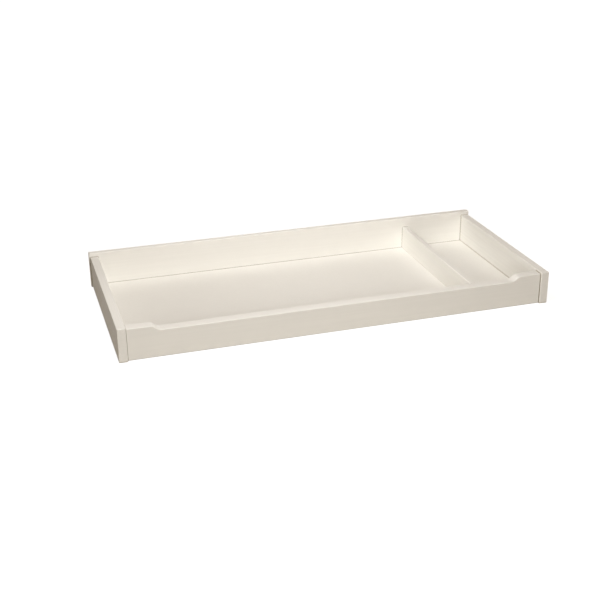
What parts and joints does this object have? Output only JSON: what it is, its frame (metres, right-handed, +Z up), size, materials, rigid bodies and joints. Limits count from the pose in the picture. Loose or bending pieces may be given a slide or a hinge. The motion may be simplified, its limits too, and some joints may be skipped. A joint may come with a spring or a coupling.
{
  "type": "changing top",
  "caption": "Low painted-wood tray with a scooped front rail, a taller back board and a divided-off storage bay, which stands on a chest of drawers and holds a changing pad.",
  "frame": {"origin": "bottom centre of the whole part: middle of the tray's length, middle of its depth over the fixing hardware, on the surface that it stands on", "axes": "+X along the tray to the right as seen from the front, +Y to the back, +Z up"},
  "size_m": [1.056, 0.4756, 0.091],
  "materials": {
    "painted_board": "satin off-white paint over solid wood",
    "painted_panel": "satin off-white paint over a thin panel",
    "beech": "raw turned beech",
    "plated_steel": "bright zinc plate",
    "plate_steel": "pressed steel, zinc plated",
    "cast_zinc": "raw die-cast zinc",
    "nylon": "natural nylon"
  },
  "bodies": {
    "frame": {"left_end_panel": "painted_board", "right_end_panel": "painted_board", "front_rail": "painted_board", "back_board": "painted_board", "divider": "painted_board", "bottom_panel": "painted_panel", "rail_dowels": "beech", "back_dowels": "beech", "divider_dowels": "beech", "left_cam_bolt": "plated_steel", "right_cam_bolt": "plated_steel", "back_board_screws": "plated_steel", "divider_back_screws": "plated_steel", "divider_floor_screws": "plated_steel", "bottom_panel_screws": "plated_steel", "plate_pivot_screws": "plated_steel", "plate_washers": "nylon"},
    "left_plate": {"left_fixing_plate": "plate_steel"},
    "right_plate": {"right_fixing_plate": "plate_steel"},
    "left_cam": {"left_cam_lock": "cast_zinc"},
    "right_cam": {"right_cam_lock": "cast_zinc"}
  },
  "joints": [
    {"name": "left_plate_swing", "type": "hinge", "parent": "frame", "child": "left_plate", "pos_m": [-0.38, 0.2343, 0.028], "axis": [0, 1, 0], "range_deg": [0, 90]},
    {"name": "right_plate_swing", "type": "hinge", "parent": "frame", "child": "right_plate", "pos_m": [0.38, 0.2343, 0.028], "axis": [0, -1, 0], "range_deg": [0, 90]},
    {"name": "left_cam_turn", "type": "hinge", "parent": "frame", "child": "left_cam", "pos_m": [-0.4705, -0.2173, 0.0385], "axis": [0, 1, 0], "range_deg": [0, 180]},
    {"name": "right_cam_turn", "type": "hinge", "parent": "frame", "child": "right_cam", "pos_m": [0.4705, -0.2173, 0.0385], "axis": [0, 1, 0], "range_deg": [0, 180]}
  ]
}
